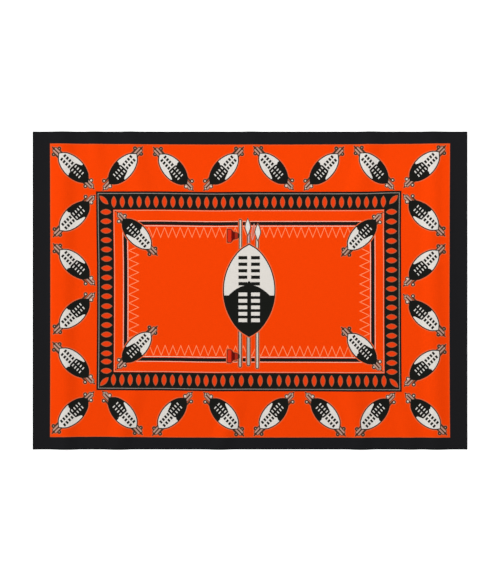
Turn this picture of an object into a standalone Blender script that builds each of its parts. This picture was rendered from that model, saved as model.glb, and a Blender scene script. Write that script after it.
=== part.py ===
"""Kanga wrap cloth, laid flat: one printed cotton panel with a narrow turned hem at each cut end.

Units are metres. The cloth lies on the plane z = 0 with its length along X, its width along Y and its
printed face up. The origin is the middle of the underside.

Every piece is an open sheet: a section in the XZ plane, carried across the width in even rows, lifted by
the folds and thickened by a Solidify modifier.
"""

import math

import bmesh
import bpy

# The cloth
CLOTH_LENGTH = 1.500            # along X, between the two turned ends
CLOTH_WIDTH = 1.097             # along Y, between the two selvedges
WALL = 0.0010                   # thickness of one layer
LAYER_GAP = 0.0003              # between two layers, and between a hem's lip and the panel's end

# The turned hems at the short ends
HEM_DEPTH = 0.010               # how far the turned layer reaches in under the panel
HEM_LIP = 0.0025                # how far the turn reaches in above it, where the panel's face begins
HEM_CLEARANCE = 0.0006          # level stretch of the panel just past the turned layer's edge
HEM_RAMP = 0.012                # the panel comes down off the hem onto the ground over this length
STIFF_END = 0.024               # within this distance of an end the hem keeps a fold from changing

# How finely the sheets are divided
PANEL_COLUMNS = 84              # along the length, between the two ramps
RAMP_COLUMNS = 2                # along each ramp
ROWS = 56                       # across the width
TURN_SEGMENTS = 4               # round the fold of a hem

# The folds: soft ridges that the cloth keeps when it is spread out by hand. Each starts beyond an edge of
# the cloth and bows sideways by its bow at the middle. One with a fade spreads out and dies away over that
# length before its end, and one without runs off the far edge.
FOLD_COLUMNS = ("name", "start_x", "start_y", "end_x", "end_y", "bow", "half_width", "height", "fade")
FOLDS = (
    ("left_end_ridge", -0.644, 0.600, -0.634, -0.600, 0.006, 0.052, 0.0062, 0.00),
    ("right_end_ridge", 0.636, 0.600, 0.645, -0.600, 0.008, 0.050, 0.0056, 0.00),
    ("upper_left_ripple", -0.420, 0.600, -0.285, 0.120, 0.022, 0.048, 0.0054, 0.36),
    ("lower_left_ripple", -0.465, -0.600, -0.330, -0.190, -0.018, 0.046, 0.0060, 0.32),
    ("upper_middle_ripple", -0.015, 0.600, 0.060, 0.250, -0.014, 0.042, 0.0046, 0.28),
    ("lower_middle_ripple", -0.130, -0.600, -0.020, -0.220, 0.016, 0.044, 0.0052, 0.30),
    ("upper_right_ripple", 0.425, 0.600, 0.300, 0.150, -0.020, 0.047, 0.0058, 0.34),
    ("lower_right_ripple", 0.385, -0.600, 0.275, -0.150, 0.024, 0.048, 0.0062, 0.34),
    ("lower_right_corner_ripple", 0.560, -0.600, 0.500, -0.360, 0.010, 0.034, 0.0040, 0.20),
    ("upper_left_corner_ripple", -0.535, 0.600, -0.505, 0.330, 0.008, 0.033, 0.0038, 0.22),
)
FOLD_SPREAD = 0.40              # a fading fold is wider by this share at its end than at its start

# The materials: colour, roughness and metallic value of each piece
PRINTED_COTTON = ("printed_cotton", (0.84, 0.055, 0.002), 0.85, 0.0)
BORDER_COTTON = ("border_cotton", (0.013, 0.013, 0.014), 0.85, 0.0)

COLLECTION_NAME = "kanga_wrap_cloth"

HALF_LENGTH = CLOTH_LENGTH / 2
HALF_WIDTH = CLOTH_WIDTH / 2
LAYER_STEP = WALL + LAYER_GAP   # how far the panel lies above the ground where it covers a turned layer


def clear_scene():
    """Remove every object, so that the script can be run again in the same file."""
    for item in list(bpy.data.objects):
        bpy.data.objects.remove(item, do_unlink=True)


def smooth_step(value):
    """0 at 0, 1 at 1, level at both, and held there beyond them."""
    value = min(max(value, 0.0), 1.0)
    return value * value * (3.0 - 2.0 * value)


def ridge_height(x, y, fold):
    """Height of one fold's ridge at a point: a raised cosine across it, fading out along it."""
    along_x = fold["end_x"] - fold["start_x"]
    along_y = fold["end_y"] - fold["start_y"]
    length = math.hypot(along_x, along_y)
    from_x = x - fold["start_x"]
    from_y = y - fold["start_y"]
    share = (from_x * along_x + from_y * along_y) / length ** 2
    if share >= 1.0:
        return 0.0
    across = (from_x * along_y - from_y * along_x) / length - 4.0 * fold["bow"] * share * (1.0 - share)
    half_width = fold["half_width"]
    fading = 1.0
    if fold["fade"]:
        half_width *= 1.0 + FOLD_SPREAD * share
        fading = smooth_step((1.0 - share) * length / fold["fade"])
    if abs(across) >= half_width:
        return 0.0
    return fold["height"] * fading * math.cos(0.5 * math.pi * across / half_width) ** 2


def cloth_height(x, y):
    """Height that the folds lift the cloth to above the ground; exactly 0 where it lies flat."""
    limit = HALF_LENGTH - STIFF_END
    x = min(max(x, -limit), limit)
    folds = (dict(zip(FOLD_COLUMNS, row)) for row in FOLDS)
    return sum(ridge_height(x, y, fold) for fold in folds)


def panel_section():
    """Stations (x, z) of the panel's underside, from its left end to its right end."""
    end = HALF_LENGTH - HEM_LIP - LAYER_GAP
    ramp_top = HALF_LENGTH - HEM_DEPTH - HEM_CLEARANCE
    ramp_foot = ramp_top - HEM_RAMP
    right_end = [(end, LAYER_STEP), (ramp_top, LAYER_STEP)]
    for step in range(1, RAMP_COLUMNS):
        share = step / RAMP_COLUMNS
        right_end.append((ramp_top - HEM_RAMP * share, LAYER_STEP * (1.0 - smooth_step(share))))
    left_end = [(-x, z) for x, z in right_end]
    column = 2.0 * ramp_foot / PANEL_COLUMNS
    middle = [(-ramp_foot + column * step, 0.0) for step in range(PANEL_COLUMNS + 1)]
    return left_end + middle + right_end[::-1]


def hem_section(side):
    """Stations (x, z) along the inner face of a hem's U, from under its lip round to the turned edge.

    side is -1 at the left end of the cloth and 1 at the right end.
    """
    turn_radius = LAYER_GAP / 2
    turn_x = HALF_LENGTH - WALL - turn_radius
    turn_z = WALL + turn_radius
    section = [(side * (HALF_LENGTH - HEM_LIP), LAYER_STEP)]
    for step in range(TURN_SEGMENTS + 1):
        angle = math.pi * (0.5 - step / TURN_SEGMENTS)
        section.append((side * (turn_x + turn_radius * math.cos(angle)), turn_z + turn_radius * math.sin(angle)))
    section.append((side * (HALF_LENGTH - HEM_DEPTH), WALL))
    return section


def make_material(name, colour, roughness, metallic):
    """A plain Principled material."""
    material = bpy.data.materials.new(name)
    material.use_nodes = True
    shader = material.node_tree.nodes["Principled BSDF"]
    shader.inputs["Base Color"].default_value = (*colour, 1.0)
    shader.inputs["Roughness"].default_value = roughness
    shader.inputs["Metallic"].default_value = metallic
    return material


def make_sheet(name, section, material, collection, outer_side):
    """One cloth piece: a grid carried along its section, lifted by the folds, WALL thick.

    The wall grows to the left of the section's path where outer_side is 1, and to the right where it is -1.
    """
    columns = len(section) - 1
    shape = bmesh.new()
    bmesh.ops.create_grid(shape, x_segments=columns, y_segments=ROWS, size=0.5)
    for vertex in shape.verts:
        x, z = section[round((vertex.co.x + 0.5) * columns)]
        y = vertex.co.y * CLOTH_WIDTH
        vertex.co = (x, y, z + cloth_height(x, y))
    mesh = bpy.data.meshes.new(name)
    shape.to_mesh(mesh)
    shape.free()
    mesh.materials.append(material)

    piece = bpy.data.objects.new(name, mesh)
    collection.objects.link(piece)
    wall = piece.modifiers.new("wall", "SOLIDIFY")
    wall.thickness = WALL
    wall.offset = outer_side
    wall.use_quality_normals = True
    return piece


def build_cloth():
    """The panel and its two hems, in a collection named for the object."""
    collection = bpy.data.collections.new(COLLECTION_NAME)
    bpy.context.scene.collection.children.link(collection)
    printed = make_material(*PRINTED_COTTON)
    border = make_material(*BORDER_COTTON)
    make_sheet("panel", panel_section(), printed, collection, outer_side=1)
    make_sheet("hem_left", hem_section(-1), border, collection, outer_side=-1)
    make_sheet("hem_right", hem_section(1), border, collection, outer_side=1)


clear_scene()
build_cloth()
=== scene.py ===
"""The looks of a kanga wrap cloth that lies flat on a pale floor, printed face up.

The cloth's own lengths are in metres. The print's lengths are in millimetres from the middle of the print,
with x to the right and y towards the upper selvedge. The print has no picture behind it: every motif is a
distance worked out from its sizes, in shader nodes.
"""

import math

import bmesh
import bpy
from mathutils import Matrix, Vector, noise


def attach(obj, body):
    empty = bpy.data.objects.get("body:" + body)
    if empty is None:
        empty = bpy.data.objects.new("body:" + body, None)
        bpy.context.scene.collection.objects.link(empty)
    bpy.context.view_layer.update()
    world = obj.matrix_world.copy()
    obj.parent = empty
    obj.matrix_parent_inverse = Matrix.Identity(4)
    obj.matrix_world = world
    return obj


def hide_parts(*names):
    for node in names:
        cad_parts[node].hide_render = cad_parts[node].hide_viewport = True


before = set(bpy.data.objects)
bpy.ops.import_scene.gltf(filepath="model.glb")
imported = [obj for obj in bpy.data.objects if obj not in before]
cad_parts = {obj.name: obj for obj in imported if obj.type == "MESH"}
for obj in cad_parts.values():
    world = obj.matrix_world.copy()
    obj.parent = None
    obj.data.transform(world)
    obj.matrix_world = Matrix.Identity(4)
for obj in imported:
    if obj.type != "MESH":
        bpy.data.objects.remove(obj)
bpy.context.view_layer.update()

# ---------------- The cloth ----------------

CLOTH_LENGTH = 1.500            # along X, between the two turned ends
CLOTH_WIDTH = 1.097             # along Y, between the two selvedges
CLOTH_THICKNESS = 0.00035       # one layer of printed cotton
HALF_LENGTH = CLOTH_LENGTH / 2

PANEL_COLUMNS = 232             # along the length, between the two hems
PANEL_ROWS = 178                # across the width

# The folds are the solid's own: soft ridges that the cloth keeps when it is spread out by hand
FOLD_COLUMNS = ("name", "start_x", "start_y", "end_x", "end_y", "bow", "half_width", "height", "fade")
FOLDS = (
    ("left_end_ridge", -0.644, 0.600, -0.634, -0.600, 0.006, 0.052, 0.0062, 0.00),
    ("right_end_ridge", 0.636, 0.600, 0.645, -0.600, 0.008, 0.050, 0.0056, 0.00),
    ("upper_left_ripple", -0.420, 0.600, -0.285, 0.120, 0.022, 0.048, 0.0054, 0.36),
    ("lower_left_ripple", -0.465, -0.600, -0.330, -0.190, -0.018, 0.046, 0.0060, 0.32),
    ("upper_middle_ripple", -0.015, 0.600, 0.060, 0.250, -0.014, 0.042, 0.0046, 0.28),
    ("lower_middle_ripple", -0.130, -0.600, -0.020, -0.220, 0.016, 0.044, 0.0052, 0.30),
    ("upper_right_ripple", 0.425, 0.600, 0.300, 0.150, -0.020, 0.047, 0.0058, 0.34),
    ("lower_right_ripple", 0.385, -0.600, 0.275, -0.150, 0.024, 0.048, 0.0062, 0.34),
    ("lower_right_corner_ripple", 0.560, -0.600, 0.500, -0.360, 0.010, 0.034, 0.0040, 0.20),
    ("upper_left_corner_ripple", -0.535, 0.600, -0.505, 0.330, 0.008, 0.033, 0.0038, 0.22),
)
FOLD_SPREAD = 0.40              # a fading fold is wider by this share at its end than at its start
STIFF_END = 0.024               # within this distance of an end the hem keeps a fold from changing

# Small creases, too fine for the solid: each is a low ridge that dies away at both ends
CREASE_COLUMNS = ("name", "start_x", "start_y", "end_x", "end_y", "bow", "half_width", "height")
CREASES = (
    ("middle_right_crease", 0.138, -0.112, 0.224, -0.176, 0.004, 0.011, 0.0011),
    ("middle_left_crease", -0.214, 0.082, -0.158, 0.036, -0.003, 0.012, 0.0006),
    ("lower_left_crease", -0.318, -0.058, -0.262, -0.104, 0.003, 0.013, 0.0006),
    ("upper_right_crease", 0.205, 0.118, 0.262, 0.052, -0.004, 0.013, 0.0006),
    ("lower_right_crease", 0.236, -0.150, 0.272, -0.186, 0.002, 0.010, 0.0005),
    ("left_end_crease", -0.676, 0.640, -0.672, -0.640, 0.004, 0.026, 0.0020),
    ("right_end_crease", 0.684, 0.620, 0.690, -0.120, 0.004, 0.028, 0.0020),
    ("left_side_crease", -0.700, -0.050, -0.560, -0.090, 0.006, 0.016, 0.0008),
    ("right_side_crease", 0.700, 0.110, 0.575, 0.060, -0.005, 0.015, 0.0008),
    ("top_edge_crease", 0.155, 0.540, 0.205, 0.430, 0.006, 0.015, 0.0009),
    ("bottom_edge_crease", 0.150, -0.545, 0.100, -0.440, -0.006, 0.014, 0.0009),
)
UNDULATION_HEIGHT = 0.0005      # how far the cloth stands off the floor between its folds, at most
UNDULATION_SIZE = 0.11          # the length of one such swell

# The hem: the end of the cloth is turned under twice and sewn down
HEM_DEPTH = 0.010               # from the folded end to the turned edge
HEM_RAMP = 0.012                # the upper layer comes down off the hem over this length
HEM_HEIGHT = 0.0016             # top of the upper layer at its puffiest
HEM_SEAM_HEIGHT = 0.0011        # top of the upper layer where the thread pulls it down
SEAM_INSET = 0.0082             # from the folded end to the row of stitches
HEM_PUCKER = 0.00025            # unevenness of the upper layer between the stitches
HEM_PUCKER_SIZE = 0.018         # the length of one such unevenness
TURN_SEGMENTS = 5               # steps round a quarter of the turn

# The stitches
STITCH_LENGTH = 0.0027
STITCH_PITCH = 0.0036
STITCH_RADIUS = 0.00028
STITCH_SIDES = 6
STITCH_RINGS = 5
STITCH_SINK = 0.5               # how much of the thread's radius is pressed into the cloth


def smooth_step(value):
    """0 at 0, 1 at 1, level at both, and held there beyond them."""
    value = min(max(value, 0.0), 1.0)
    return value * value * (3.0 - 2.0 * value)


def ridge_place(x, y, ridge):
    """Share of a ridge's length at a point, that length, and the distance across from its bowed line."""
    along_x = ridge["end_x"] - ridge["start_x"]
    along_y = ridge["end_y"] - ridge["start_y"]
    length = math.hypot(along_x, along_y)
    from_x = x - ridge["start_x"]
    from_y = y - ridge["start_y"]
    share = (from_x * along_x + from_y * along_y) / length ** 2
    across = (from_x * along_y - from_y * along_x) / length - 4.0 * ridge["bow"] * share * (1.0 - share)
    return share, length, across


def raised_cosine(across, half_width):
    """1 on a ridge's line, 0 at its half width and beyond."""
    return math.cos(0.5 * math.pi * across / half_width) ** 2 if abs(across) < half_width else 0.0


def fold_height(x, y, fold):
    """Height of one of the solid's folds at a point."""
    share, length, across = ridge_place(x, y, fold)
    if share >= 1.0:
        return 0.0
    if not fold["fade"]:
        return fold["height"] * raised_cosine(across, fold["half_width"])
    fading = smooth_step((1.0 - share) * length / fold["fade"])
    return fold["height"] * fading * raised_cosine(across, fold["half_width"] * (1.0 + FOLD_SPREAD * share))


def crease_height(x, y, crease):
    """Height of one small crease at a point."""
    share, _, across = ridge_place(x, y, crease)
    if not 0.0 < share < 1.0:
        return 0.0
    return crease["height"] * math.sin(math.pi * share) * raised_cosine(across, crease["half_width"])


FOLD_ROWS = [dict(zip(FOLD_COLUMNS, row)) for row in FOLDS]
CREASE_ROWS = [dict(zip(CREASE_COLUMNS, row)) for row in CREASES]


def cloth_height(x, y):
    """Height of the cloth's underside above the floor, before the hems are counted."""
    limit = HALF_LENGTH - STIFF_END
    x = min(max(x, -limit), limit)
    height = sum(fold_height(x, y, fold) for fold in FOLD_ROWS)
    height += sum(crease_height(x, y, crease) for crease in CREASE_ROWS)
    swell = noise.noise(Vector((x / UNDULATION_SIZE, y / UNDULATION_SIZE, 0.0)))
    return height + UNDULATION_HEIGHT * (0.5 + 0.5 * swell)


def hem_pucker(x, y):
    """Unevenness of the layer that covers a hem; none on the rest of the cloth."""
    inset = HALF_LENGTH - abs(x)
    if inset >= SEAM_INSET:
        return 0.0
    wave = noise.noise(Vector((math.copysign(1.0, x), y / HEM_PUCKER_SIZE, 0.5)))
    return HEM_PUCKER * wave * math.sin(math.pi * inset / SEAM_INSET)


def panel_end():
    """Stations (inset from the folded end, height of the underside), from the fold inwards over the hem."""
    turn = (HEM_HEIGHT - CLOTH_THICKNESS) / 2
    stations = []
    for step in range(TURN_SEGMENTS + 1):
        angle = 0.5 * math.pi * step / TURN_SEGMENTS
        stations.append((CLOTH_THICKNESS + turn * (1.0 - math.cos(angle)), turn * (1.0 + math.sin(angle))))
    puffed = HEM_HEIGHT - CLOTH_THICKNESS
    pulled = HEM_SEAM_HEIGHT - CLOTH_THICKNESS
    stations += [
        (0.0030, puffed),
        (0.0050, puffed - 0.0001),
        (0.0068, 0.5 * (puffed + pulled)),
        (SEAM_INSET, pulled),
        (0.0092, pulled + 0.0001),
        (HEM_DEPTH + 0.0006, pulled),
    ]
    for share in (0.25, 0.5, 0.75):
        stations.append((HEM_DEPTH + HEM_RAMP * share, pulled * (1.0 - smooth_step(share))))
    stations.append((HEM_DEPTH + HEM_RAMP, 0.0))
    return stations


def hem_end():
    """Stations (inset, height of the layer's inner face), from the fold round under the panel and back."""
    turn = (HEM_HEIGHT - CLOTH_THICKNESS) / 2
    floor_face = CLOTH_THICKNESS
    stations = []
    for step in range(TURN_SEGMENTS + 1):
        angle = 0.5 * math.pi * step / TURN_SEGMENTS
        drop = (turn - floor_face) * math.sin(angle)
        stations.append((CLOTH_THICKNESS + turn * (1.0 - math.cos(angle)), turn - drop))
    stations += [(0.0040, floor_face), (0.0070, floor_face), (HEM_DEPTH, floor_face)]
    return stations


def panel_section():
    """Stations (x, z) of the panel's underside, from its left fold to its right fold."""
    right = [(HALF_LENGTH - inset, z) for inset, z in panel_end()]
    left = [(-x, z) for x, z in right]
    inner = HALF_LENGTH - HEM_DEPTH - HEM_RAMP
    middle = [(inner * (2.0 * step / PANEL_COLUMNS - 1.0), 0.0) for step in range(1, PANEL_COLUMNS)]
    return left + middle + right[::-1]


def hem_section(side):
    """Stations (x, z) of a hem's turned layer. side is -1 at the left end and 1 at the right end."""
    return [(side * (HALF_LENGTH - inset), z) for inset, z in hem_end()]


def add_piece(name, shape, material):
    """The finished bmesh as an object of the scene."""
    for face in shape.faces:
        face.smooth = True
    mesh = bpy.data.meshes.new(name)
    shape.to_mesh(mesh)
    shape.free()
    mesh.materials.append(material)
    piece = bpy.data.objects.new(name, mesh)
    bpy.context.scene.collection.objects.link(piece)
    return piece


def make_sheet(name, section, outer_side, material):
    """A grid carried along its section, lifted by the folds and thickened, with a flat map of the cloth."""
    columns = len(section) - 1
    shape = bmesh.new()
    bmesh.ops.create_grid(shape, x_segments=columns, y_segments=PANEL_ROWS, size=0.5)
    for vertex in shape.verts:
        x, z = section[round((vertex.co.x + 0.5) * columns)]
        y = vertex.co.y * CLOTH_WIDTH
        vertex.co = (x, y, z + cloth_height(x, y) + hem_pucker(x, y))
    flat_map = shape.loops.layers.uv.new("OFBake")
    for face in shape.faces:
        for loop in face.loops:
            place = loop.vert.co
            loop[flat_map].uv = (place.x / CLOTH_LENGTH + 0.5, place.y / CLOTH_WIDTH + 0.5)
    piece = add_piece(name, shape, material)
    wall = piece.modifiers.new("wall", "SOLIDIFY")
    wall.thickness = CLOTH_THICKNESS
    wall.offset = outer_side
    return piece


def make_stitches(name, side, material):
    """One hem's row of stitches as one mesh: short threads with round ends, half sunk in the cloth."""
    x = side * (HALF_LENGTH - SEAM_INSET)
    count = int(CLOTH_WIDTH / STITCH_PITCH)
    shape = bmesh.new()
    for number in range(count):
        y = (number - (count - 1) / 2) * STITCH_PITCH
        top = HEM_SEAM_HEIGHT + cloth_height(x, y)
        made = bmesh.ops.create_uvsphere(
            shape, u_segments=STITCH_SIDES, v_segments=STITCH_RINGS, radius=1.0
        )
        for vertex in made["verts"]:
            round_x, round_z, along = vertex.co
            vertex.co = (
                x + STITCH_RADIUS * round_x,
                y + 0.5 * STITCH_LENGTH * along,
                top + STITCH_RADIUS * (round_z + 1.0 - 2.0 * STITCH_SINK),
            )
    return add_piece(name, shape, material)


# ---------------- Arithmetic and painting in shader nodes ----------------

INK_EDGE = 0.9                  # width in millimetres over which a printed edge goes from nothing to full
HIDDEN = 4.0                    # added to the distance from a small shape, in millimetres, this hides it
LIGHT_ON_CLOTH = 1.30           # how bright a white cloth would show, with 1 as the brightest white


class Number:
    """A number at every point of the cloth: a node's output, with arithmetic that adds Math nodes."""

    def __init__(self, tree, socket):
        self.tree = tree
        self.socket = socket

    def math(self, operation, *values):
        node = self.tree.nodes.new("ShaderNodeMath")
        node.operation = operation
        for entry, value in zip(node.inputs, values):
            if isinstance(value, Number):
                self.tree.links.new(value.socket, entry)
            else:
                entry.default_value = value
        return Number(self.tree, node.outputs[0])

    def __add__(self, other):
        return self.math("ADD", self, other)

    def __sub__(self, other):
        return self.math("SUBTRACT", self, other)

    def __rsub__(self, other):
        return self.math("SUBTRACT", other, self)

    def __mul__(self, other):
        return self.math("MULTIPLY", self, other)

    def __truediv__(self, other):
        return self.math("DIVIDE", self, other)

    def __neg__(self):
        return self.math("MULTIPLY", self, -1.0)

    def __abs__(self):
        return self.math("ABSOLUTE", self)

    __radd__ = __add__
    __rmul__ = __mul__

    def least(self, other):
        return self.math("MINIMUM", self, other)

    def most(self, other):
        return self.math("MAXIMUM", self, other)

    def softly_most(self, other, distance):
        """The greater of two numbers, rounded off where they are nearly equal."""
        return self.math("SMOOTH_MAX", self, other, distance)

    def over(self, limit):
        """1 where the number is over the limit, and 0 elsewhere."""
        return self.math("GREATER_THAN", self, limit)

    def to_power(self, exponent):
        return self.math("POWER", self, exponent)

    def root(self):
        return self.math("SQRT", self)

    def back_and_forth(self, length):
        """Rises from 0 to length and falls back to 0, over and over."""
        return self.math("PINGPONG", self, length)

    def ramp(self, start, end, smooth=False):
        """0 up to start, 1 from end on, and even or smooth in between."""
        node = self.tree.nodes.new("ShaderNodeMapRange")
        node.interpolation_type = "SMOOTHSTEP" if smooth else "LINEAR"
        self.tree.links.new(self.socket, node.inputs["Value"])
        node.inputs["From Min"].default_value = start
        node.inputs["From Max"].default_value = end
        return Number(self.tree, node.outputs["Result"])

    def ink(self):
        """The number as a distance from a shape's edge, made into cover: 1 inside and 0 outside."""
        return self.ramp(0.5 * INK_EDGE, -0.5 * INK_EDGE)


def length_of(x, y):
    """Length of the vector (x, y)."""
    return (x * x + y * y).root()


def choose(chooser, no, yes):
    """no where the chooser is 0 and yes where it is 1. Either may be a plain number."""
    return no + (yes - no) * chooser


def stepped(steps, values):
    """The first value, then each next one from where its step is 1. The steps are 1 one after another."""
    result = values[0]
    for step, before, value in zip(steps, values, values[1:]):
        result = step * (value - before) + result
    return result


class Paint:
    """Layers of ink on the cloth, each laid over those before it."""

    def __init__(self, tree, colour):
        self.tree = tree
        self.colour = colour

    def lay(self, cover, colour):
        """Lay a colour, plain or worked out, where cover is 1."""
        node = self.tree.nodes.new("ShaderNodeMix")
        node.data_type = "RGBA"
        self.tree.links.new(cover.socket, node.inputs[0])
        for entry, value in ((node.inputs[6], self.colour), (node.inputs[7], colour)):
            if isinstance(value, bpy.types.NodeSocket):
                self.tree.links.new(value, entry)
            else:
                entry.default_value = (*value, 1.0)
        self.colour = node.outputs[2]

    def shape(self, distance, colour):
        """Lay a colour inside a shape, given the distance from its edge."""
        self.lay(distance.ink(), colour)


def printed(red, green, blue):
    """A colour as it shows, from 0 to 255 in each channel, as the share of light that the cloth returns."""
    def share(value):
        value /= 255.0
        linear = value / 12.92 if value <= 0.04045 else ((value + 0.055) / 1.055) ** 2.4
        return linear / LIGHT_ON_CLOTH
    return share(red), share(green), share(blue)


# ---------------- The print ----------------

ORANGE = printed(242, 65, 1)
BLACK = printed(24, 25, 22)
BORDER_BLACK = printed(27, 27, 29)
WHITE = printed(221, 216, 209)
HAIRLINE = printed(218, 160, 130)
INNER_HAIRLINE = printed(230, 196, 172)
INNERMOST_HAIRLINE = printed(236, 206, 184)
GREY_LINE = printed(150, 141, 133)
BORDER_LINE_ORANGE = printed(226, 84, 32)
HALO = printed(218, 98, 58)
BIG_HALO = printed(226, 108, 68)
ZIGZAG_ORANGE = printed(255, 148, 98)
LENS_ORANGE = printed(230, 60, 12)
LENS_EDGE = printed(166, 90, 58)
RED = printed(216, 46, 18)
TUFT_RED = printed(166, 40, 22)
DARK_RED = printed(140, 24, 14)
DARKEST_RED = printed(92, 16, 10)
STAFF_GREY = printed(180, 170, 162)
STAFF_PINK = printed(198, 166, 168)
STAFF_PALE = printed(208, 197, 184)
LEAF_PINK = printed(214, 104, 80)
LEAF_LINE = printed(204, 150, 138)
HEAD_LINE = printed(76, 68, 58)
ROD_PINK = printed(186, 146, 130)
CLUB_DARK = printed(76, 54, 40)
KNOB_PALE = printed(214, 200, 188)
OUTLINE = printed(62, 42, 30)

PRINT_CENTRE = (-4.0, -2.2)     # the middle of the print, from the middle of the cloth
BORDER_HALF = (690.0, 507.0)    # half sizes of the orange field inside the plain black border
BORDER_DRAWN_IN = {"top": 3.8, "left": 1.6, "right": 2.0}       # how far its sides bow inwards
BORDER_BULGE = {"x": -530.0, "reach": 330.0, "depth": 2.7}      # its one wide place, along the bottom
BORDER_LINE = 3.0               # a thin paler line where the orange meets the border
LEAN = 0.0042                   # the lower half leans: it drops by this share of the distance to the right
ZIGZAG_LEAN = 0.0095            # and its zigzag leans more
LEAN_HEIGHTS = (150.0, -350.0)  # where the lean starts, and where it is full

# The frame is a little out of true. Its two groups of lines are each centred off the print's middle
OUTER_CENTRE = (0.9, -1.1)
INNER_CENTRE = (1.4, -1.9)
CORNER_PULL = 3.4e-8            # the corners are drawn outwards, by this share per square millimetre
CORNER_LIFT = {"x": (380.0, 510.0), "y": (80.0, 330.0), "by": 3.4}      # the upper right corner is drawn up
LEFT_RISE = {"x": (-180.0, -320.0), "by": 1.3}          # the left part lies higher
LEFT_DIP = {"x": -115.0, "reach": 110.0, "by": 0.9}     # and the stretch beside it lower
UPPER_SHIFT = {"y": (100.0, 210.0), "by": 1.4}          # the upper part lies further left

# The frame's straight lines, from the outside in: half sizes of each line's middle, its width and its ink
FRAME_COLUMNS = ("name", "half_x", "half_y", "width", "ink")
OUTER_LINES = (
    ("outer_grey_line", 517.7, 336.9, 2.2, GREY_LINE),
    ("outer_hairline", 463.6, 278.6, 1.8, HAIRLINE),
)
INNER_LINES = (
    ("inner_hairline", 434.2, 242.6, 1.9, INNER_HAIRLINE),
    ("inner_black_line", 426.2, 235.0, 11.6, BLACK),
    ("innermost_hairline", 418.2, 226.0, 2.1, INNERMOST_HAIRLINE),
)
BAND_OUTER = (524.7, 344.2)     # half sizes of the black band's outside
BAND_INNER = (466.1, 281.0)     # and of its inside

# The chain of lenses in the band. Each side of the band is made of runs: the edges between them, and for
# each run the place of one of its lenses and the distance from lens to lens
UPRIGHT_LENS = {"away": 307.8, "half_length": 20.7, "half_width": 9.0, "reach": 480.5}
LYING_LENS = {"away": 491.2, "half_length": 19.6, "half_width": 10.0, "reach": 292.0}
CORNER_LENS = {"x": 498.0, "y": 314.0, "half_length": 21.2, "half_width": 9.0, "angle": 44.5}
LENS_LINE = 2.3
LENS_RUNS = {
    "top": {"edges": (344.0,), "places": (0.4, -1.1), "pitches": (29.0, 29.0)},
    "bottom": {"edges": (-74.0, 119.3), "places": (-466.4, -59.0, 463.7), "pitches": (28.95, 32.4, 30.0)},
    "left": {"edges": (-229.0, -34.2), "places": (-244.8, -85.6, 13.8), "pitches": (32.0, 32.7, 32.42)},
    "right": {"edges": (-135.5, 156.0), "places": (-182.7, 9.8, 173.0), "pitches": (31.0, 32.4, 33.1)},
}

# The zigzags just inside the frame. For each run: where one inner tip lies, and the distance between tips
ZIGZAG_LINE = 2.1
ZIGZAG_LEVEL = {"outer": 222.0, "inner": 187.4, "reach": 414.0}
ZIGZAG_UPRIGHT = {"outer": 415.4, "inner": 381.9, "reach": 222.0}
ZIGZAG_USUAL_PITCH = 28.0       # the slope that the line's width is worked out for has this pitch
ZIGZAG_COLUMNS = ("run", "tip", "pitch")
ZIGZAG_RUNS = (
    ("top_left", -89.0, 27.1),
    ("top_right", 57.8, 26.9),
    ("bottom_left", -74.3, 27.0),
    ("bottom_right", 146.9, 30.7),
    ("bottom_far_right", 146.9, 27.7),
    ("left", 5.0, 30.4),
    ("right", -3.5, 30.9),
)

# The small shields: a ring of 24 round the frame and one in each of its inner corners. Angles in degrees
RING_PITCH = (173.1, 169.5)
RING_INSIDE = (525.5, 344.5)    # half sizes of the rectangle that the ring lies outside
RING_ANGLE = 47.5               # tilt of the shields above and below the frame
SIDE_ANGLE = 45.0               # and of those beside it
SIDE_RISE = 4.5                 # the shields beside the frame stand about this much above their even places
CORNER_CENTRE = (1.9, -0.4)     # the middle of the four in the frame's corners
CORNER_SLOPE = 0.0034           # the line between the upper and the lower two slopes down to the right
CORNER_SHIELD = (388.2, 195.7)  # from that centre to the middle of each
CORNER_ANGLE = 47.0
CORNER_DASH = {"middle": 100.0, "half_length": 9.0, "half_width": 1.6}  # a dark dash on out to the corner

# How far each shield of the ring strays from its even place, to the right and upwards: from the left in the
# rows, and from the foot up in the columns
RING_STRAYS = {
    "top": ((0.8, -1.0, -2.0, 0.8, -2.5, 0.6, -2.0, 0.0), (2.5, -2.0, -3.0, -2.5, -0.5, -2.0, 0.5, 7.0)),
    "bottom": ((0.1, -2.2, -5.0, 1.3, -1.0, 5.5, 1.8, 4.0), (1.0, 2.5, 1.0, 0.0, 1.5, 1.5, 1.5, 1.5)),
    "left": ((2.7, 4.5, 4.5, 4.5), (5.5, 6.0, 8.0, 4.0)),
    "right": ((1.1, -1.5, -1.5, -2.5), (1.5, 1.0, 6.0, 6.5)),
}

# A small shield's sizes, from its middle: along is towards its white end
SMALL_BODY = {"half_length": 78.5, "half_width": 35.3, "tip": 72.0, "tip_angle": 52.0, "round": 6.0}
SMALL_LINE = 3.2                # dark outline
HALO_WIDTH = 3.0                # pale line round an outline
SMALL_SLITS = {"column": 8.1, "count": 4}
SMALL_DARK_SLITS = {"first": 12.8, "pitch": 11.9, "half_width": 5.3, "half_height": 3.7}
SMALL_PALE_SLITS = {"first": -3.0, "pitch": 11.2, "half_width": 4.6, "half_height": 1.9}
SMALL_SHOULDER = 5.4            # along, where the black begins over the slits
SMALL_FALLS = (28.5, 20.5)      # how far it falls away on one side, and in the ring's corners
SMALL_FALL_REACH = (14.5, 27.0)
SMALL_SLIP = 12.0               # in all corners, it also falls away by this much on the other side
SMALL_SLIP_REACH = (-12.0, -30.0)
SMALL_NOTCH = {"across": -19.0, "half_width": 6.0, "depth": 4.0}
SMALL_SLIT_TILT = 0.06          # the rows of slits lean by this slope, one way or the other

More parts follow.
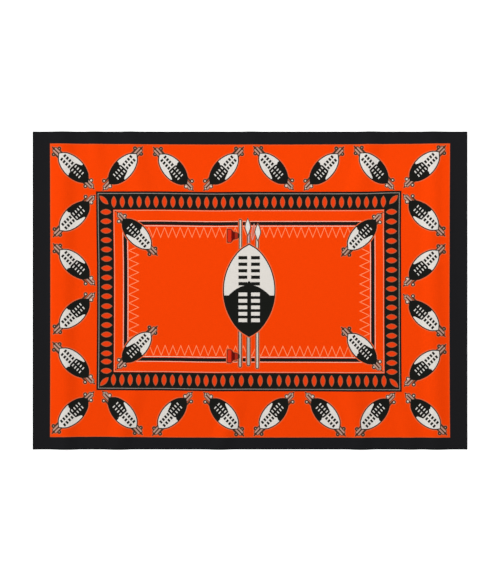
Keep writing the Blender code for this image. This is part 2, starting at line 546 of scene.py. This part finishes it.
# The bundle behind a small shield. It starts under the shield and shows at both its ends
BUNDLE_START = 40.0
BUNDLE_MIDDLE = -1.5            # across, midway between the rods, where the spear lies
BUNDLE_HALO = 2.0               # pale line round the dark outlines
RODS = {"apart": 5.0, "end": 92.0, "radius": 2.7, "outline": 2.4}
SPEAR = {"end": 102.0, "radius": 0.9, "outline": 1.2}
SPEAR_TIE = {"out": 93.5, "radius": 2.2, "outline": 2.6}        # pale, at the black end only
CLUBS = {"apart": 14.0, "black_end": 74.5, "white_end": 80.0, "radius": 3.6, "outline": 3.4}
CLUB_STEMS = {"nearer": 4.0, "radius": 0.8}
CLUB_SHRINK = {"white_end": 2.3, "left": 0.9}   # how much of a knob's pale radius is lost to its outline
CLUB_MIDDLES = (-6.4, -2.0, 1.2)    # across, midway between the knobs: ring, its corners, frame's corners
CLUB_DRIFT = 3.4                # in the ring's rows and columns, it is off by this at the white end

# The big shield in the middle, and the staff and the spears behind it, from the middle of the print
BIG_CENTRE = (1.1, 2.7)
BIG_BODY = {"half_length": 166.8, "half_width": 90.4, "tip": 161.0, "tip_angle": 59.5, "round": 5.0}
BIG_LINE = 3.6
BIG_HUMP = {"top": 18.8, "bend": 0.0072, "lowest": -17.5}
BIG_KNOB = {"top": 31.9, "bend": 0.16}
BIG_SLITS = {"column": 21.8, "count": 5}
BIG_DARK_SLITS = {"first": 22.7, "pitch": 22.45, "half_width": 15.3, "half_height": 5.8}
BIG_PALE_SLITS = {"first": -13.7, "pitch": 22.4, "half_width": 15.0, "half_height": 6.2}
STAFF_COLUMNS = ("name", "x", "low", "high", "radius", "ink")
STAFFS = (
    ("staff_top", -29.0, 100.0, 246.0, 2.7, STAFF_PALE),
    ("staff_foot", -30.2, -261.5, -100.0, 3.4, STAFF_GREY),
    ("middle_shaft_top", -0.8, 100.0, 200.0, 3.0, STAFF_PINK),
    ("middle_shaft_foot", -1.2, -256.0, -100.0, 4.0, STAFF_GREY),
    ("right_shaft_top", 28.6, 100.0, 185.0, 2.9, STAFF_PALE),
    ("right_shaft_foot", 29.2, -265.5, -100.0, 3.1, STAFF_PALE),
)
STAFF_LINE = 2.6
LEAF = {"x": 15.2, "y": 204.0, "half_length": 30.0, "half_width": 6.0, "angle": -6.0}
HEAD_COLUMNS = ("name", "x", "widest", "above", "below", "half_width")
SPEAR_HEADS = (
    ("middle_head", -3.6, 220.0, 33.5, 32.0, 10.8),
    ("right_head", 30.9, 201.8, 33.5, 31.0, 11.2),
)
HEAD_POWERS = (1.2, 1.7)        # how full a spear's head is below and above: at 1 its sides are straight
HEAD_HALO = 0.8
HEAD_OUTLINE = 2.6
HEAD_SLANT = 0.94               # turns a distance along x into the distance from a head's slanting side
LEAF_OUTLINE = 2.2
TASSEL = {"left": -75.5, "right": -33.5, "middle": -16.9, "apart": 208.1, "half_height": 23.8, "round": 4.0}
# How a tassel narrows towards its tie: from, to, and by how much on each side
TASSEL_TAPERS = ((-61.0, -53.0, 9.5), (-53.0, -40.0, 3.5), (-40.0, -34.0, 3.0))
# Its bands of colour, each laid over the one before: where it ends on the right, its outline and its ink
TASSEL_BANDS = (
    (-36.0, 1.8, TUFT_RED),
    (-46.0, 2.2, DARKEST_RED),
    (-55.5, 2.2, DARK_RED),
    (-58.5, 2.6, RED),
)
TASSEL_TIE = {"x": -34.6, "half_width": 3.4, "half_height": 6.5}


def lens(x, y, half_length, half_width):
    """Distance from a pointed lens that stands upright: the part that two equal circles share."""
    radius = (half_length ** 2 + half_width ** 2) / (2.0 * half_width)
    return length_of(abs(x) + (radius - half_width), y) - radius


def box(x, y, half_x, half_y):
    """Distance from an upright rectangle round the origin."""
    return (abs(x) - half_x).most(abs(y) - half_y)


def bar(x, y, low, high, radius):
    """Distance from an upright bar with round ends, from low to high."""
    beyond = (abs(y - 0.5 * (low + high)) - (0.5 * (high - low) - radius)).most(0.0)
    return length_of(x, beyond) - radius


def turned(x, y, angle):
    """The point (x, y) seen from axes turned anticlockwise by angle degrees."""
    cosine = math.cos(math.radians(angle))
    sine = math.sin(math.radians(angle))
    return x * cosine + y * sine, y * cosine - x * sine


def shield_body(across, along, body):
    """Distance from a shield's outline: a lens with blunter ends, all softly joined."""
    sides = lens(across, along, body["half_length"], body["half_width"])
    angle = math.radians(body["tip_angle"])
    ends = abs(across) * math.cos(angle) + (abs(along) - body["tip"]) * math.sin(angle)
    return sides.softly_most(ends, body["round"])


def slits(across, along, columns, rows):
    """Distance from two columns of slits. Rows go on from the first one, away from the shield's middle."""
    away = math.copysign(1.0, rows["first"])
    from_first = (along - rows["first"]) * away
    column = abs(abs(across) - columns["column"]) - rows["half_width"]
    half_span = 0.5 * rows["pitch"] * (columns["count"] - 1)
    between = abs(from_first).back_and_forth(0.5 * rows["pitch"])
    ends = abs(from_first - half_span) - (half_span + rows["half_height"])
    return column.most(between - rows["half_height"]).most(ends)


def print_lines(paint, x, y, lines):
    """Straight lines, each the edge of a rectangle."""
    for row in lines:
        line = dict(zip(FRAME_COLUMNS, row))
        edge = box(x, y, line["half_x"], line["half_y"])
        paint.shape(abs(edge) - 0.5 * line["width"], line["ink"])


def print_band(paint, x, y):
    """The black band, with its chain of lenses."""
    paint.shape(box(x, y, *BAND_OUTER).most(-box(x, y, *BAND_INNER)), BLACK)
    print_lenses(paint, x, y)


def lens_run(along, side):
    """The place of one lens and the distance from lens to lens, at each point along a side of the band."""
    run = LENS_RUNS[side]
    steps = [along.over(edge) for edge in run["edges"]]
    return stepped(steps, run["places"]), stepped(steps, run["pitches"])


def lens_chain(along, away, size, sides):
    """Distance from the lenses on two opposite sides of the band, the lower or left side named first."""
    runs = (lens_run(along, side) for side in sides)
    place, pitch = (choose(away.over(0.0), *pair) for pair in zip(*runs))
    beside = ((along - place) / pitch).back_and_forth(0.5) * pitch
    lenses = lens(beside, abs(away) - size["away"], size["half_length"], size["half_width"])
    return lenses.most(abs(along) - size["reach"])


def print_lenses(paint, x, y):
    """The chain of lenses along the band, with one across each corner."""
    upright = lens_chain(x, y, UPRIGHT_LENS, ("bottom", "top"))
    lying = lens_chain(y, x, LYING_LENS, ("left", "right"))
    corner = CORNER_LENS
    corner_x, corner_y = turned(abs(x) - corner["x"], abs(y) - corner["y"], -corner["angle"])
    tilted = lens(corner_x, corner_y, corner["half_length"], corner["half_width"])
    lenses = upright.least(lying).least(tilted)
    paint.shape(lenses, LENS_EDGE)
    paint.shape(lenses + LENS_LINE, LENS_ORANGE)


def zigzag(along, away, size, tip, pitch):
    """Distance from a zigzag line. away is how far the point lies from the print's middle line."""
    height = size["outer"] - size["inner"]
    rise = (abs(along - tip) / pitch * 2.0).back_and_forth(1.0) * height
    slope = 2.0 * height / ZIGZAG_USUAL_PITCH
    return abs(away - size["inner"] - rise) * (1.0 / math.hypot(1.0, slope)) - 0.5 * ZIGZAG_LINE


def print_zigzags(paint, x, y):
    """A zigzag along each side of the frame, its teeth pointing inwards."""
    runs = {row[0]: dict(zip(ZIGZAG_COLUMNS, row)) for row in ZIGZAG_RUNS}
    right = x.over(0.0)
    far_right = x.over(runs["bottom_far_right"]["tip"])
    top = y.over(0.0)

    def pick(key):
        upper = choose(right, runs["top_left"][key], runs["top_right"][key])
        lower = choose(right, runs["bottom_left"][key], runs["bottom_right"][key])
        lower = choose(far_right, lower, runs["bottom_far_right"][key])
        return choose(top, lower, upper)

    size = ZIGZAG_LEVEL
    level = zigzag(x, abs(y), size, pick("tip"), pick("pitch"))
    level = level.most(box(x, y, size["reach"], size["outer"]))
    size = ZIGZAG_UPRIGHT
    tip = choose(right, runs["left"]["tip"], runs["right"]["tip"])
    pitch = choose(right, runs["left"]["pitch"], runs["right"]["pitch"])
    upright = zigzag(y, abs(x), size, tip, pitch)
    upright = upright.most(box(x, y, size["outer"], size["reach"]))
    paint.shape(level.least(upright), ZIGZAG_ORANGE)


def ring_place(x, y, at_side, at_corner):
    """The point as seen from the even place of its own shield in the ring."""
    past_column = [x.over(RING_PITCH[0] * number) for number in range(-3, 4)]
    past_row = [y.over(RING_PITCH[1] * number + SIDE_RISE) for number in range(-1, 2)]
    top = y.over(0.0)
    right = x.over(0.0)
    in_column = at_side * (1.0 - at_corner)
    place = []
    for value, axis in ((x, 0), (y, 1)):
        in_row = (stepped(past_column, RING_STRAYS[row][axis]) for row in ("bottom", "top"))
        beside = (stepped(past_row, RING_STRAYS[column][axis]) for column in ("left", "right"))
        place.append(value - choose(in_column, choose(top, *in_row), choose(right, *beside)))
    return place


def print_small_shields(paint, x, y):
    """The ring of shields and the four in the frame's inner corners, in one set of axes.

    along runs from a shield's middle to its white end, and across is positive on the side where the white
    reaches furthest into the black.
    """
    inside = 1.0 - box(x, y, *RING_INSIDE).over(0.0)

    # The ring: mirrored from one shield to the next
    at_side = abs(x).over(3.0 * RING_PITCH[0])
    at_corner = abs(y - SIDE_RISE).over(2.0 * RING_PITCH[1])
    ring_x, ring_y = ring_place(x, y, at_side, at_corner)
    beside = abs(ring_x).back_and_forth(RING_PITCH[0]) - 0.5 * RING_PITCH[0]
    above = abs(ring_y).back_and_forth(RING_PITCH[1]) - 0.5 * RING_PITCH[1]
    cosine = choose(at_side, math.cos(math.radians(RING_ANGLE)), math.cos(math.radians(SIDE_ANGLE)))
    sine = choose(at_side, math.sin(math.radians(RING_ANGLE)), math.sin(math.radians(SIDE_ANGLE)))
    ring_along = above * sine - beside * cosine
    ring_across = (beside * sine + above * cosine) * (2.0 * at_side - 1.0)

    # The inner corners: mirrored across both axes, with the black ends outwards
    corner_x = abs(x - CORNER_CENTRE[0]) - CORNER_SHIELD[0]
    corner_y = abs(y - CORNER_CENTRE[1] + x * CORNER_SLOPE) - CORNER_SHIELD[1]
    corner_along, corner_across = turned(corner_x, corner_y, CORNER_ANGLE)
    along = choose(inside, ring_along, -corner_along)
    across = choose(inside, ring_across, -corner_across)
    tilt = choose(at_side.most(inside), SMALL_SLIT_TILT, -SMALL_SLIT_TILT)
    in_corner = at_side * at_corner
    fall = choose(in_corner, *SMALL_FALLS)
    slip = in_corner.most(inside) * SMALL_SLIP

    dash = CORNER_DASH
    dash_line = box(corner_across, corner_along - dash["middle"], dash["half_width"], dash["half_length"])
    paint.lay(dash_line.ink() * inside, OUTLINE)
    body = shield_body(across, along, SMALL_BODY)
    club_middle = choose(inside, choose(in_corner, *CLUB_MIDDLES[:2]), CLUB_MIDDLES[2])
    club_middle = club_middle + along.over(0.0) * (1.0 - in_corner.most(inside)) * CLUB_DRIFT
    print_bundle(paint, body, across, along, club_middle)
    print_small_shield(paint, body, across, along, tilt, fall, slip)


def print_bundle(paint, body, across, along, club_middle):
    """The rods, the spear and the clubs behind a small shield, which show at both its ends."""
    out = abs(along)
    beside_clubs = abs(across - club_middle) - CLUBS["apart"]
    at_white_end = along.over(0.0)
    shrink = (at_white_end * CLUB_SHRINK["white_end"]).most((-across).over(0.0) * CLUB_SHRINK["left"])
    from_middle = across - BUNDLE_MIDDLE
    rods = bar(abs(from_middle) - RODS["apart"], out, BUNDLE_START, RODS["end"], RODS["radius"])
    club_out = choose(at_white_end, CLUBS["black_end"], CLUBS["white_end"])
    clubs = length_of(beside_clubs, out - club_out) - CLUBS["radius"]
    stems = bar(
        beside_clubs + CLUB_STEMS["nearer"], out, BUNDLE_START, CLUBS["black_end"], CLUB_STEMS["radius"]
    )
    spear = bar(from_middle, out, BUNDLE_START, SPEAR["end"], SPEAR["radius"])
    tie = length_of(from_middle, out - SPEAR_TIE["out"]) - SPEAR_TIE["radius"]
    dark = (rods.least(stems) - RODS["outline"]).least(clubs - CLUBS["outline"])
    dark = dark.least(spear - SPEAR["outline"]).least(tie - SPEAR_TIE["outline"])
    paint.shape((dark - BUNDLE_HALO).least(body - HALO_WIDTH), HALO)
    paint.shape(dark, CLUB_DARK)
    paint.shape(rods, ROD_PINK)
    paint.shape(spear, OUTLINE)
    paint.shape(clubs + shrink, KNOB_PALE)
    paint.shape(tie + at_white_end * HIDDEN, KNOB_PALE)


def print_small_shield(paint, body, across, along, tilt, fall, slip):
    """A pointed shield, white at one end and black at the other, with two columns of slits."""
    paint.shape(body, BLACK)
    # The black rises to a level shoulder over the slits, falls away on one side and is notched on the other
    edge = SMALL_SHOULDER - fall * across.ramp(*SMALL_FALL_REACH, smooth=True)
    edge = edge - slip * across.ramp(*SMALL_SLIP_REACH)
    notch = abs(across - SMALL_NOTCH["across"]).ramp(SMALL_NOTCH["half_width"], 0.0)
    edge = edge - notch * SMALL_NOTCH["depth"]
    paint.shape((body + SMALL_LINE).most(edge - along), WHITE)
    leaning = along + across * tilt
    paint.shape(slits(across, leaning, SMALL_SLITS, SMALL_DARK_SLITS), BLACK)
    paint.shape(slits(across, leaning, SMALL_SLITS, SMALL_PALE_SLITS), WHITE)


def print_staffs(paint, x, y):
    """The staff and the two spears behind the big shield, with a red tassel at each end of the staff."""
    for row in STAFFS:
        staff = dict(zip(STAFF_COLUMNS, row))
        distance = bar(x - staff["x"], y, staff["low"], staff["high"], staff["radius"])
        paint.shape(distance - STAFF_LINE - HALO_WIDTH, HALO)
        paint.shape(distance - STAFF_LINE, OUTLINE)
        paint.shape(distance, staff["ink"])
    tassel = TASSEL
    from_tie = abs(abs(y - tassel["middle"]) - tassel["apart"])
    half_length = 0.5 * (tassel["right"] - tassel["left"])
    ends = abs(x - 0.5 * (tassel["right"] + tassel["left"])) - half_length
    height = from_tie - tassel["half_height"]
    for start, end, narrower in TASSEL_TAPERS:
        height = height + x.ramp(start, end) * narrower
    outline = height.softly_most(ends, tassel["round"])
    paint.shape((outline - HALO_WIDTH).most(x - TASSEL_BANDS[0][0]), HALO)
    paint.shape(outline, OUTLINE)
    for right, inset, ink in TASSEL_BANDS:
        paint.shape(outline.most(x - right) + inset, ink)
    tie = TASSEL_TIE
    paint.shape(box(x - tie["x"], from_tie, tie["half_width"], tie["half_height"]), OUTLINE)

    leaf_x, leaf_y = turned(x - LEAF["x"], y - LEAF["y"], LEAF["angle"])
    leaf = lens(leaf_x, leaf_y, LEAF["half_length"], LEAF["half_width"])
    paint.shape(leaf, LEAF_LINE)
    paint.shape(leaf + LEAF_OUTLINE, LEAF_PINK)
    for row in SPEAR_HEADS:
        head = dict(zip(HEAD_COLUMNS, row))
        above = y - head["widest"]
        share = (above / head["above"]).most(above / -head["below"])
        narrowing = share.to_power(choose(above.over(0.0), *HEAD_POWERS))
        distance = (abs(x - head["x"]) - head["half_width"] * (1.0 - narrowing)) * HEAD_SLANT
        distance = distance.most((share - 1.0) * head["above"])
        paint.shape(distance - HEAD_HALO, HALO)
        paint.shape(distance, HEAD_LINE)
        paint.shape(distance + HEAD_OUTLINE, WHITE)


def print_big_shield(paint, x, y):
    """The big shield: white above and black below, with two columns of slits in each."""
    across = x - BIG_CENTRE[0]
    along = y - BIG_CENTRE[1]
    body = shield_body(across, along, BIG_BODY)
    paint.shape(body - HALO_WIDTH, BIG_HALO)
    paint.shape(body, BLACK)
    # The black rises towards the middle, with a small knob on top that joins the lowest black slits
    hump = (BIG_HUMP["top"] - across * across * BIG_HUMP["bend"]).most(BIG_HUMP["lowest"])
    knob = BIG_KNOB["top"] - across * across * BIG_KNOB["bend"]
    paint.shape((body + BIG_LINE).most(hump.most(knob) - along), WHITE)
    paint.shape(slits(across, along, BIG_SLITS, BIG_DARK_SLITS), BLACK)
    paint.shape(slits(across, along, BIG_SLITS, BIG_PALE_SLITS), WHITE)


def print_border(paint, x, y):
    """The plain black border, with a thin paler line along its inner edge, which isn't quite straight."""
    half_x, half_y = BORDER_HALF
    inward = BORDER_DRAWN_IN
    arch = 1.0 - x * x * half_x ** -2.0
    side_arch = 1.0 - y * y * half_y ** -2.0
    bulge = abs(x - BORDER_BULGE["x"]).ramp(BORDER_BULGE["reach"], 0.0, smooth=True)
    top = y + inward["top"] * arch
    bottom = bulge * BORDER_BULGE["depth"] - y
    sides = (x + inward["right"] * side_arch).most(inward["left"] * side_arch - x)
    field = (top.most(bottom) - half_y).most(sides - half_x)
    paint.shape(-(field + BORDER_LINE), BORDER_LINE_ORANGE)
    paint.shape(-field, BORDER_BLACK)


# ---------------- The materials ----------------

INK_CREEP = 0.5                 # the most that an inked edge strays, in millimetres
CREEP_SCALE = 260.0             # of the noise that it strays by, for each metre
YARN_SCALES = (55.0, 620.0)     # of the noise that makes the yarns uneven, for each metre along and across
YARN_SHADE = 0.10               # how far the yarns' shade strays, at most
YARN_RELIEF = 0.00010           # metres between the yarns' lowest and highest places
THREAD_TWIST = 1000.0           # scale of the sewing thread's twist: about 0.6 mm from turn to turn
THREAD_RELIEF = 0.00005         # metres between the twist's lowest and highest places


def place_in_metres(tree):
    """The output with the point's place on the cloth."""
    return tree.nodes.new("ShaderNodeTexCoord").outputs["Object"]


def place_on_cloth(tree):
    """The point's x and y on the cloth, in millimetres."""
    parts = tree.nodes.new("ShaderNodeSeparateXYZ")
    tree.links.new(place_in_metres(tree), parts.inputs[0])
    return (Number(tree, parts.outputs[axis]) * 1000.0 for axis in ("X", "Y"))


def add_noise(tree, place, scale):
    """Noise with little detail."""
    node = tree.nodes.new("ShaderNodeTexNoise")
    node.inputs["Scale"].default_value = scale
    node.inputs["Detail"].default_value = 1.0
    tree.links.new(place, node.inputs["Vector"])
    return node


def uneven_place(tree, x, y):
    """The point shifted by a fraction of a millimetre, as ink creeps along the yarns."""
    creep = add_noise(tree, place_in_metres(tree), CREEP_SCALE)
    parts = tree.nodes.new("ShaderNodeSeparateColor")
    tree.links.new(creep.outputs["Color"], parts.inputs[0])
    along, up = ((Number(tree, parts.outputs[name]) - 0.5) * (2.0 * INK_CREEP) for name in ("Red", "Green"))
    return x + along, y + up


def frame_place(x, y, centre):
    """The point as it would lie in a frame printed straight and square, from the frame's centre."""
    x = x - centre[0]
    y = y - centre[1]
    lifted = x.ramp(*CORNER_LIFT["x"], smooth=True) * y.ramp(*CORNER_LIFT["y"]) * CORNER_LIFT["by"]
    risen = x.ramp(*LEFT_RISE["x"], smooth=True) * LEFT_RISE["by"]
    dipped = abs(x - LEFT_DIP["x"]).ramp(LEFT_DIP["reach"], 0.0, smooth=True) * LEFT_DIP["by"]
    shifted = y.ramp(*UPPER_SHIFT["y"]) * UPPER_SHIFT["by"]
    return x + shifted - x * y * y * CORNER_PULL, y - lifted - risen + dipped


def add_relief(tree, shader, height, distance):
    """Relief from a height. The heights 0 and 1 stand distance metres apart."""
    bump = tree.nodes.new("ShaderNodeBump")
    bump.inputs["Strength"].default_value = 1.0
    bump.inputs["Distance"].default_value = distance
    tree.links.new(height, bump.inputs["Height"])
    tree.links.new(bump.outputs["Normal"], shader.inputs["Normal"])


def add_yarns(tree, shader, colour):
    """Uneven yarns both ways over a colour, plain or worked out: a slight change of shade, and a relief."""
    slubs = None
    along, across = YARN_SCALES
    for stretch in ((along, across, along), (across, along, along)):
        place = tree.nodes.new("ShaderNodeMapping")
        place.inputs["Scale"].default_value = stretch
        tree.links.new(place_in_metres(tree), place.inputs["Vector"])
        one = Number(tree, add_noise(tree, place.outputs["Vector"], 1.0).outputs[0]) - 0.5
        slubs = one if slubs is None else slubs + one
    shade = 1.0 + slubs * YARN_SHADE
    mix = tree.nodes.new("ShaderNodeVectorMath")
    mix.operation = "SCALE"
    if isinstance(colour, bpy.types.NodeSocket):
        tree.links.new(colour, mix.inputs[0])
    else:
        mix.inputs[0].default_value = colour
    tree.links.new(shade.socket, mix.inputs["Scale"])
    tree.links.new(mix.outputs[0], shader.inputs["Base Color"])
    add_relief(tree, shader, slubs.socket, YARN_RELIEF)


def new_material(name):
    """Matt cotton without a colour."""
    material = bpy.data.materials.new(name)
    material.use_nodes = True
    shader = material.node_tree.nodes["Principled BSDF"]
    shader.inputs["Roughness"].default_value = 0.9
    shader.inputs["Specular IOR Level"].default_value = 0.03
    shader.inputs["Sheen Weight"].default_value = 0.02
    shader.inputs["Sheen Roughness"].default_value = 0.4
    return material, material.node_tree, shader


def printed_cotton():
    """The print's layers of ink on cotton, from the lowest up."""
    material, tree, shader = new_material("printed_cotton")
    cloth_x, cloth_y = place_on_cloth(tree)
    field_x, field_y = uneven_place(tree, cloth_x, cloth_y)
    x = field_x - PRINT_CENTRE[0]
    y = field_y - PRINT_CENTRE[1]
    drop = x * y.ramp(*LEAN_HEIGHTS)
    paint = Paint(tree, ORANGE)
    print_zigzags(paint, x - INNER_CENTRE[0], y + drop * ZIGZAG_LEAN - INNER_CENTRE[1])
    y = y + drop * LEAN
    outer = frame_place(x, y, OUTER_CENTRE)
    inner = frame_place(x, y, INNER_CENTRE)
    print_band(paint, *outer)
    print_lines(paint, *outer, OUTER_LINES)
    print_lines(paint, *inner, INNER_LINES)
    print_small_shields(paint, x, y)
    print_staffs(paint, x, y)
    print_big_shield(paint, x, y)
    print_border(paint, field_x, field_y)
    add_yarns(tree, shader, paint.colour)
    return material


def border_cotton():
    """Cotton dyed the border's black, for the turned hems."""
    material, tree, shader = new_material("border_cotton")
    add_yarns(tree, shader, BORDER_BLACK)
    return material


def hem_thread():
    """Black sewing thread, with the relief of its twist."""
    material, tree, shader = new_material("hem_thread")
    shader.inputs["Base Color"].default_value = (*BORDER_BLACK, 1.0)
    twist = tree.nodes.new("ShaderNodeTexWave")
    twist.bands_direction = "DIAGONAL"
    twist.inputs["Scale"].default_value = THREAD_TWIST
    tree.links.new(place_in_metres(tree), twist.inputs["Vector"])
    add_relief(tree, shader, twist.outputs[0], THREAD_RELIEF)
    return material


# ---------------- The camera, the floor and the lights ----------------

VIEW_HEIGHT = 2.0045            # metres of floor that the view's long side takes in
LENS_LENGTH = 85.0              # millimetres
SENSOR = 36.0                   # millimetres, along the view's long side
FLOOR_SIZE = 80.0               # so wide that its far edge stays out of a low view
FLOOR_DROP = 0.0003             # the floor lies this far below the cloth's lowest point
WORLD_LIGHT = 0.25
AREA_LIGHTS = (                 # name, place, target and size in metres, power in watts
    ("key", (0.9, 2.6, 3.6), (0.1, 0.1, 0.0), (2.6, 2.6), 112.0),
    ("left_fill", (-3.4, 0.0, 2.2), (-0.5, 0.0, 0.0), (1.6, 3.0), 58.0),
    ("right_fill", (3.4, 0.0, 2.2), (0.5, 0.0, 0.0), (1.6, 3.0), 28.0),
)
SLANT_SUN = {"from": (-3.0, 1.2, 2.3), "strength": 2.26, "degrees": 18.0}       # it brings out the folds


def make_camera():
    data = bpy.data.cameras.new("camera")
    data.lens = LENS_LENGTH
    data.sensor_width = SENSOR
    data.sensor_fit = "AUTO"
    camera = bpy.data.objects.new("camera", data)
    bpy.context.scene.collection.objects.link(camera)
    camera.location = (0.0, 0.0, VIEW_HEIGHT * LENS_LENGTH / SENSOR)
    bpy.context.scene.camera = camera


def make_floor():
    bpy.ops.mesh.primitive_plane_add(size=FLOOR_SIZE, location=(0.0, 0.0, -FLOOR_DROP))
    floor = bpy.context.object
    floor.name = "floor"
    material = bpy.data.materials.new("floor")
    material.use_nodes = True
    shader = material.node_tree.nodes["Principled BSDF"]
    shader.inputs["Base Color"].default_value = (0.95, 0.95, 0.95, 1.0)
    shader.inputs["Emission Color"].default_value = (1.0, 1.0, 1.0, 1.0)
    shader.inputs["Emission Strength"].default_value = 0.3
    shader.inputs["Roughness"].default_value = 0.9
    shader.inputs["Specular IOR Level"].default_value = 0.0
    floor.data.materials.append(material)
    return floor


def add_light(name, kind, strength):
    data = bpy.data.lights.new(name, kind)
    data.energy = strength
    light = bpy.data.objects.new(name, data)
    bpy.context.scene.collection.objects.link(light)
    return data, light


def add_area_light(name, place, target, size, power):
    data, light = add_light(name, "AREA", power)
    data.shape = "RECTANGLE"
    data.size, data.size_y = size
    light.location = place
    light.rotation_euler = (Vector(target) - Vector(place)).to_track_quat("-Z", "Y").to_euler()
    light.visible_camera = False


def make_lights():
    world = bpy.data.worlds.new("world")
    bpy.context.scene.world = world
    world.use_nodes = True
    background = world.node_tree.nodes["Background"]
    background.inputs["Color"].default_value = (1.0, 1.0, 1.0, 1.0)
    background.inputs["Strength"].default_value = WORLD_LIGHT
    for light in AREA_LIGHTS:
        add_area_light(*light)
    data, sun = add_light("slant", "SUN", SLANT_SUN["strength"])
    data.angle = math.radians(SLANT_SUN["degrees"])
    sun.rotation_euler = Vector(SLANT_SUN["from"]).to_track_quat("Z", "Y").to_euler()


# ---------------- Putting it together ----------------

make_camera()
make_lights()
make_floor()
bpy.context.scene.view_settings.view_transform = "Standard"

cotton = printed_cotton()
border = border_cotton()
thread = hem_thread()

panel = make_sheet("cloth_panel", panel_section(), 1, cotton)
hem_left = make_sheet("cloth_hem_left", hem_section(-1), -1, border)
hem_right = make_sheet("cloth_hem_right", hem_section(1), 1, border)
stitches_left = make_stitches("stitches_left", -1, thread)
stitches_right = make_stitches("stitches_right", 1, thread)

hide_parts("panel")
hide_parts("hem_left")
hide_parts("hem_right")
for piece in (panel, hem_left, hem_right, stitches_left, stitches_right):
    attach(piece, "root")
